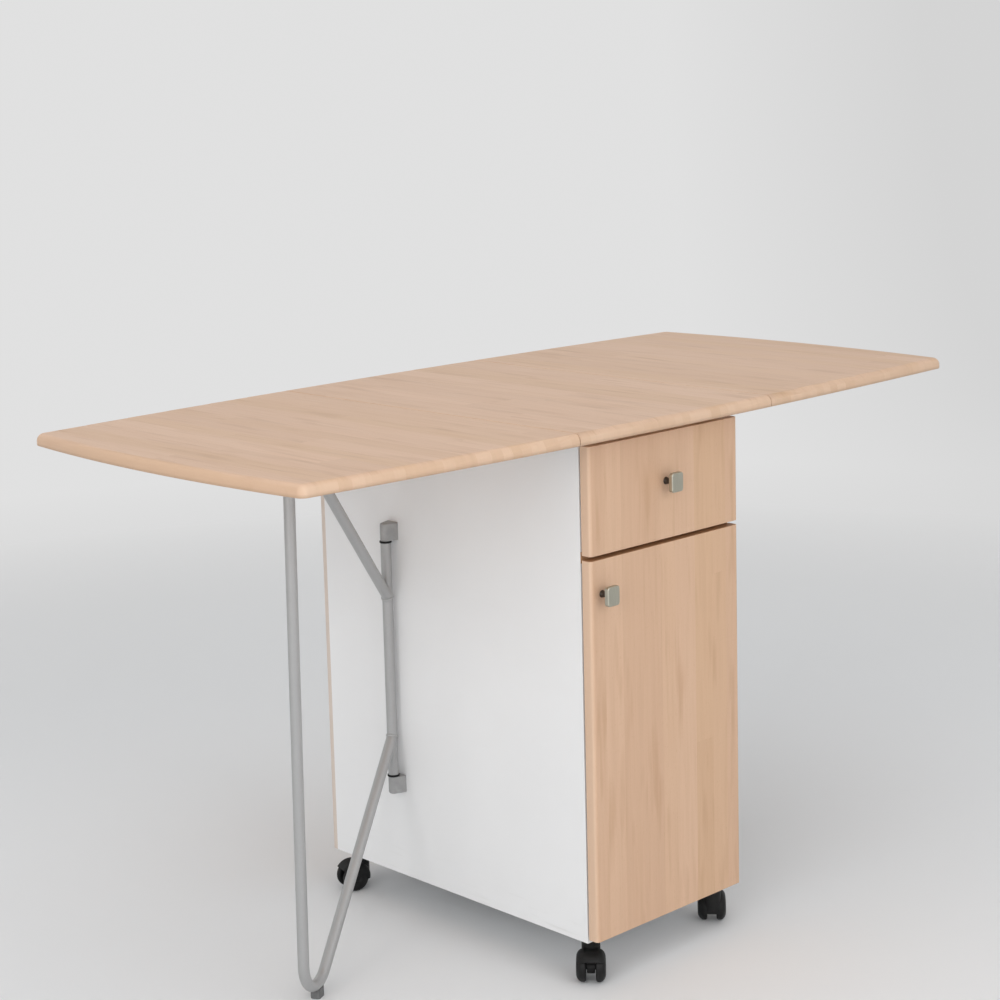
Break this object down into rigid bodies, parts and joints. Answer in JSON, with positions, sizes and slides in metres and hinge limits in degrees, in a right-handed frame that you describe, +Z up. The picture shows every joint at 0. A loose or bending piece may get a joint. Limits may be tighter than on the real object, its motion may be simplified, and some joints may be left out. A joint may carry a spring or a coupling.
{
  "type": "drop-leaf kitchen table",
  "caption": "Drop-leaf kitchen table on a narrow castor cabinet with drawer and door; a swinging gate leg of bent tube holds up each leaf.",
  "frame": {"origin": "on the floor under the middle of the top", "axes": "+X along the top, fronts face -Y, +Z up"},
  "size_m": [1.27, 0.592, 0.75],
  "materials": {
    "beech_top": "beech stave decor, satin",
    "beech_front": "beech stave decor, satin",
    "white_board": "white melamine",
    "drawer_board": "white foil",
    "silver_tube": "silver paint",
    "grey_plastic": "moulded grey",
    "black_plastic": "moulded black",
    "knob_metal": "brushed",
    "zinc_steel": "bright zinc",
    "castor_plastic": "moulded black",
    "castor_wheel": "moulded black"
  },
  "bodies": {
    "cabinet": {"middle_top": "beech_top", "left_side_panel": "white_board", "right_side_panel": "white_board", "floor_panel": "white_board", "divider_panel": "white_board", "front_top_rail": "white_board", "rear_top_rail": "white_board", "back_panel": "beech_front", "shelf": "white_board", "shelf_pins": "zinc_steel", "left_leg_upper_bracket": "grey_plastic", "left_leg_lower_bracket": "grey_plastic", "right_leg_upper_bracket": "grey_plastic", "right_leg_lower_bracket": "grey_plastic", "left_leaf_hinge_fixed_plates": "zinc_steel", "right_leaf_hinge_fixed_plates": "zinc_steel", "left_drawer_channel": "zinc_steel", "right_drawer_channel": "zinc_steel", "door_hinge_frame_leaves": "zinc_steel", "front_left_castor_plate": "zinc_steel", "front_right_castor_plate": "zinc_steel", "rear_left_castor_plate": "zinc_steel", "rear_right_castor_plate": "zinc_steel"},
    "drawer": {"drawer_front": "beech_front", "drawer_left_side": "drawer_board", "drawer_right_side": "drawer_board", "drawer_back": "drawer_board", "drawer_bottom": "drawer_board", "drawer_left_rail": "zinc_steel", "drawer_right_rail": "zinc_steel", "drawer_knob": "knob_metal"},
    "door": {"door_panel": "beech_front", "door_hinge_door_leaves": "zinc_steel", "door_knob": "knob_metal"},
    "left_drop_leaf": {"left_leaf": "beech_top", "left_leaf_hinge_plates": "zinc_steel", "left_leg_stop": "black_plastic"},
    "left_gate_leg": {"left_leg_frame": "silver_tube", "left_leg_glide": "black_plastic", "left_leg_rest_pad": "black_plastic"},
    "right_drop_leaf": {"right_leaf": "beech_top", "right_leaf_hinge_plates": "zinc_steel", "right_leg_stop": "black_plastic"},
    "right_gate_leg": {"right_leg_frame": "silver_tube", "right_leg_glide": "black_plastic", "right_leg_rest_pad": "black_plastic"},
    "front_left_castor": {"front_left_castor_hood": "castor_plastic"},
    "front_left_castor_left_roller": {"front_left_castor_left_wheel": "castor_wheel"},
    "front_left_castor_right_roller": {"front_left_castor_right_wheel": "castor_wheel"},
    "front_right_castor": {"front_right_castor_hood": "castor_plastic"},
    "front_right_castor_left_roller": {"front_right_castor_left_wheel": "castor_wheel"},
    "front_right_castor_right_roller": {"front_right_castor_right_wheel": "castor_wheel"},
    "rear_left_castor": {"rear_left_castor_hood": "castor_plastic"},
    "rear_left_castor_left_roller": {"rear_left_castor_left_wheel": "castor_wheel"},
    "rear_left_castor_right_roller": {"rear_left_castor_right_wheel": "castor_wheel"},
    "rear_right_castor": {"rear_right_castor_hood": "castor_plastic"},
    "rear_right_castor_left_roller": {"rear_right_castor_left_wheel": "castor_wheel"},
    "rear_right_castor_right_roller": {"rear_right_castor_right_wheel": "castor_wheel"}
  },
  "joints": [
    {"name": "drawer_slide", "type": "slide", "parent": "cabinet", "child": "drawer", "axis": [0, -1, 0], "range_m": [0, 0.3]},
    {"name": "door_swing", "type": "hinge", "parent": "cabinet", "child": "door", "pos_m": [0.1494, -0.2508, 0.31875], "axis": [0, 0, 1], "range_deg": [0, 105]},
    {"name": "left_leaf_lift", "type": "hinge", "parent": "cabinet", "child": "left_drop_leaf", "pos_m": [-0.188, 0, 0.7303], "axis": [0, 1, 0], "range_deg": [0, 3]},
    {"name": "left_leg_swing", "type": "hinge", "parent": "cabinet", "child": "left_gate_leg", "pos_m": [-0.16, 0.112, 0.38], "axis": [0, 0, 1], "range_deg": [0, 63.7]},
    {"name": "right_leaf_lift", "type": "hinge", "parent": "cabinet", "child": "right_drop_leaf", "pos_m": [0.188, 0, 0.7303], "axis": [0, -1, 0], "range_deg": [0, 3]},
    {"name": "right_leg_swing", "type": "hinge", "parent": "cabinet", "child": "right_gate_leg", "pos_m": [0.16, -0.112, 0.38], "axis": [0, 0, 1], "range_deg": [0, 63.7]},
    {"name": "front_left_castor_swivel", "type": "hinge", "parent": "cabinet", "child": "front_left_castor", "pos_m": [-0.124, -0.234, 0.048], "axis": [0, 0, 1], "continuous": true},
    {"name": "front_left_castor_left_wheel_spin", "type": "hinge", "parent": "front_left_castor", "child": "front_left_castor_left_roller", "pos_m": [-0.1344, -0.24337, 0.02], "axis": [0.6691, -0.7431, 0], "continuous": true},
    {"name": "front_left_castor_right_wheel_spin", "type": "hinge", "parent": "front_left_castor", "child": "front_left_castor_right_roller", "pos_m": [-0.1344, -0.24337, 0.02], "axis": [0.6691, -0.7431, 0], "continuous": true},
    {"name": "front_right_castor_swivel", "type": "hinge", "parent": "cabinet", "child": "front_right_castor", "pos_m": [0.124, -0.234, 0.048], "axis": [0, 0, 1], "continuous": true},
    {"name": "front_right_castor_left_wheel_spin", "type": "hinge", "parent": "front_right_castor", "child": "front_right_castor_left_roller", "pos_m": [0.1344, -0.22463, 0.02], "axis": [-0.6691, 0.7431, 0], "continuous": true},
    {"name": "front_right_castor_right_wheel_spin", "type": "hinge", "parent": "front_right_castor", "child": "front_right_castor_right_roller", "pos_m": [0.1344, -0.22463, 0.02], "axis": [-0.6691, 0.7431, 0], "continuous": true},
    {"name": "rear_left_castor_swivel", "type": "hinge", "parent": "cabinet", "child": "rear_left_castor", "pos_m": [-0.124, 0.234, 0.048], "axis": [0, 0, 1], "continuous": true},
    {"name": "rear_left_castor_left_wheel_spin", "type": "hinge", "parent": "rear_left_castor", "child": "rear_left_castor_left_roller", "pos_m": [-0.13752, 0.23762, 0.02], "axis": [-0.2588, -0.9659, 0], "continuous": true},
    {"name": "rear_left_castor_right_wheel_spin", "type": "hinge", "parent": "rear_left_castor", "child": "rear_left_castor_right_roller", "pos_m": [-0.13752, 0.23762, 0.02], "axis": [-0.2588, -0.9659, 0], "continuous": true},
    {"name": "rear_right_castor_swivel", "type": "hinge", "parent": "cabinet", "child": "rear_right_castor", "pos_m": [0.124, 0.234, 0.048], "axis": [0, 0, 1], "continuous": true},
    {"name": "rear_right_castor_left_wheel_spin", "type": "hinge", "parent": "rear_right_castor", "child": "rear_right_castor_left_roller", "pos_m": [0.131, 0.24612, 0.02], "axis": [-0.866, 0.5, 0], "continuous": true},
    {"name": "rear_right_castor_right_wheel_spin", "type": "hinge", "parent": "rear_right_castor", "child": "rear_right_castor_right_roller", "pos_m": [0.131, 0.24612, 0.02], "axis": [-0.866, 0.5, 0], "continuous": true}
  ]
}
